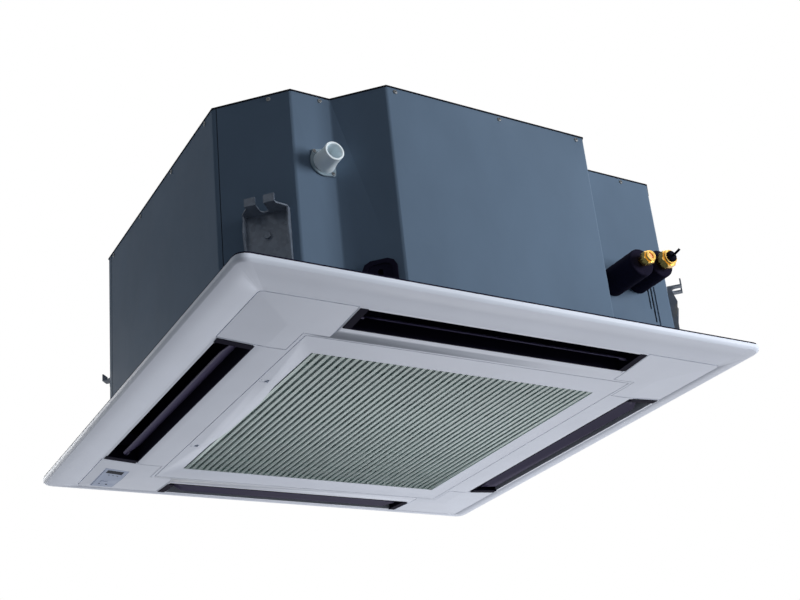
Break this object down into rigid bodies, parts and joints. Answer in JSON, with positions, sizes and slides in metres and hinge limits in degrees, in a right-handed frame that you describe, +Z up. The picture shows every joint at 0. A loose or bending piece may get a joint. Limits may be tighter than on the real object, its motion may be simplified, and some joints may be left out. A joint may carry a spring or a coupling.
{
  "type": "ceiling cassette air conditioner",
  "caption": "Four-way ceiling cassette air conditioner with a square louvred panel, hinged intake grille, sheet-metal body, hanging hooks, drain socket and refrigerant pipes.",
  "frame": {"origin": "centre of the lowest flat face of the decorative panel", "axes": "+Z up into the ceiling; +X and +Y along the sides of the square panel; the pipes leave towards -Y near the +X corner"},
  "size_m": [0.95, 0.95, 0.4],
  "materials": {
    "panel": "satin moulded",
    "grille": "satin moulded",
    "black": "matt moulded",
    "louver": "satin moulded",
    "label": "satin moulded",
    "window": "smooth tinted",
    "casing": "coated sheet",
    "zinc": "galvanised",
    "foam": "expanded foam",
    "rubber": "foam rubber",
    "aluminium": "finned",
    "plastic": "moulded",
    "clear": "translucent",
    "copper": "drawn copper",
    "brass": "machined",
    "fan": "moulded",
    "mesh": "frame and net"
  },
  "bodies": {
    "root": {"panel_frame": "panel", "corner_cover_back_right": "panel", "corner_cover_back_left": "panel", "corner_cover_front_left": "panel", "corner_cover_front_right": "panel", "display_receiver": "label", "display_window": "window", "ceiling_seal": "rubber", "outlet_liner_back": "black", "louver_motor_back": "plastic", "outlet_liner_left": "black", "louver_motor_left": "plastic", "outlet_liner_front": "black", "louver_motor_front": "plastic", "outlet_liner_right": "black", "louver_motor_right": "plastic", "outer_casing": "casing", "top_plate": "casing", "foam_liner": "foam", "wiring_grommet": "rubber", "wiring_cover": "casing", "drain_pan": "foam", "evaporator_coil": "aluminium", "bell_mouth": "black", "fan_motor": "zinc", "motor_mount": "zinc", "control_box": "zinc", "control_box_cover": "zinc", "hanging_bracket_front_left": "zinc", "hanging_bracket_front_right": "zinc", "hanging_bracket_back_right": "zinc", "hanging_bracket_back_left": "zinc", "drain_socket": "clear", "drain_pump": "plastic", "drain_hose": "clear", "float_stem": "plastic", "liquid_pipe": "copper", "gas_pipe": "copper", "liquid_pipe_sleeve": "rubber", "gas_pipe_sleeve": "rubber", "liquid_flare_nut": "brass", "gas_flare_nut": "brass", "pipe_end_plug": "rubber"},
    "fan": {"fan_rotor": "fan", "fan_shroud": "fan", "fan_nut": "zinc", "fan_shaft": "zinc"},
    "grille": {"intake_grille": "grille", "grille_hinge_pin_front": "zinc", "grille_hinge_pin_back": "zinc", "air_filter": "mesh"},
    "latch_front": {"grille_latch_front": "panel"},
    "latch_back": {"grille_latch_back": "panel"},
    "button": {"test_button": "label"},
    "float": {"float": "plastic"},
    "louver_back": {"louver_back": "louver"},
    "louver_left": {"louver_left": "louver"},
    "louver_front": {"louver_front": "louver"},
    "louver_right": {"louver_right": "louver"}
  },
  "joints": [
    {"name": "swing_back", "type": "hinge", "parent": "root", "child": "louver_back", "pos_m": [0, 0.382, 0.0122], "axis": [-1, 0, 0], "range_deg": [-28, 34]},
    {"name": "swing_left", "type": "hinge", "parent": "root", "child": "louver_left", "pos_m": [-0.382, 0, 0.0122], "axis": [0, -1, 0], "range_deg": [-28, 34]},
    {"name": "swing_front", "type": "hinge", "parent": "root", "child": "louver_front", "pos_m": [0, -0.382, 0.0122], "axis": [1, 0, 0], "range_deg": [-28, 34]},
    {"name": "swing_right", "type": "hinge", "parent": "root", "child": "louver_right", "pos_m": [0.382, 0, 0.0122], "axis": [0, 1, 0], "range_deg": [-28, 34]},
    {"name": "fan_spin", "type": "hinge", "parent": "root", "child": "fan", "pos_m": [0, 0, 0.2], "axis": [0, 0, 1], "continuous": true},
    {"name": "grille_hinge", "type": "hinge", "parent": "root", "child": "grille", "pos_m": [0.2998, 0, 0.003], "axis": [0, -1, 0], "range_deg": [0, 90]},
    {"name": "latch_front_slide", "type": "slide", "parent": "grille", "child": "latch_front", "axis": [1, 0, 0], "range_m": [0, 0.006]},
    {"name": "latch_back_slide", "type": "slide", "parent": "grille", "child": "latch_back", "axis": [1, 0, 0], "range_m": [0, 0.006]},
    {"name": "button_press", "type": "slide", "parent": "root", "child": "button", "axis": [0, 0, 1], "range_m": [0, 0.001], "stiffness_N_per_m": 300},
    {"name": "float_rise", "type": "slide", "parent": "root", "child": "float", "axis": [0, 0, 1], "range_m": [0, 0.012]}
  ],
  "couplings": [
    {"joint": "swing_left", "follows": "swing_back", "ratio": 1},
    {"joint": "swing_front", "follows": "swing_back", "ratio": 1},
    {"joint": "swing_right", "follows": "swing_back", "ratio": 1}
  ]
}
